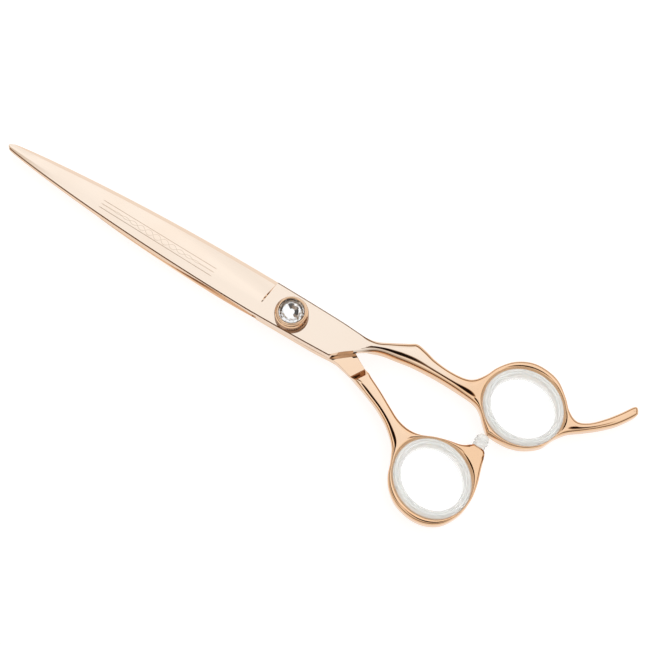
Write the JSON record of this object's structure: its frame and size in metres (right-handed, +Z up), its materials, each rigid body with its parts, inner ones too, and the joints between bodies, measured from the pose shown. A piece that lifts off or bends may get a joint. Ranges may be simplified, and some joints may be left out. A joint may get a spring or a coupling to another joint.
{
  "type": "hair cutting shears",
  "caption": "Offset hair cutting shears with long tapered blades, oval finger rings with soft inserts, a finger rest and a crystal-topped tension dial.",
  "frame": {"origin": "on the pivot axis, in the plane of the lower blade's underside on which the shears rest", "axes": "+X from the pivot towards the finger rings, with the blade tips at -X; +Y towards the finger ring's side; +Z up along the pivot axis, towards the dial"},
  "size_m": [0.2125, 0.066, 0.0115],
  "materials": {
    "rose_gold_steel": "mirror polished, rose gold coated steel",
    "rose_gold_dial": "polished, rose gold coated",
    "clear_silicone": "translucent, satin",
    "plain_steel": "turned and ground",
    "bronze": "turned",
    "white_washer": "low-friction sheet",
    "crystal": "cut and faceted"
  },
  "bodies": {
    "finger_side": {"finger_half": "rose_gold_steel", "finger_ring_insert": "clear_silicone", "pivot_bush": "bronze", "thrust_washer": "white_washer"},
    "thumb_side": {"thumb_half": "rose_gold_steel", "thumb_ring_insert": "clear_silicone", "bumper": "clear_silicone", "pivot_bolt": "plain_steel", "blade_washer": "white_washer", "spring_washer": "plain_steel"},
    "click_side": {"click_plate": "plain_steel"},
    "dial_side": {"tension_dial": "rose_gold_dial", "crystal_bezel": "rose_gold_dial", "crystal": "crystal"}
  },
  "joints": [
    {"name": "blade_pivot", "type": "hinge", "parent": "finger_side", "child": "thumb_side", "pos_m": [0, 0, 0.0035], "axis": [0, 0, -1], "range_deg": [0, 135]},
    {"name": "tension_travel", "type": "slide", "parent": "thumb_side", "child": "click_side", "axis": [0, 0, 1], "range_m": [-0.00013, 0.00013], "deforming": ["spring_washer"]},
    {"name": "dial_turn", "type": "hinge", "parent": "click_side", "child": "dial_side", "pos_m": [0, 0, 0.009], "axis": [0, 0, 1], "range_deg": [-90, 90]}
  ],
  "couplings": [
    {"joint": "tension_travel", "follows": "dial_turn", "m_per_rad": 0.0000796}
  ]
}
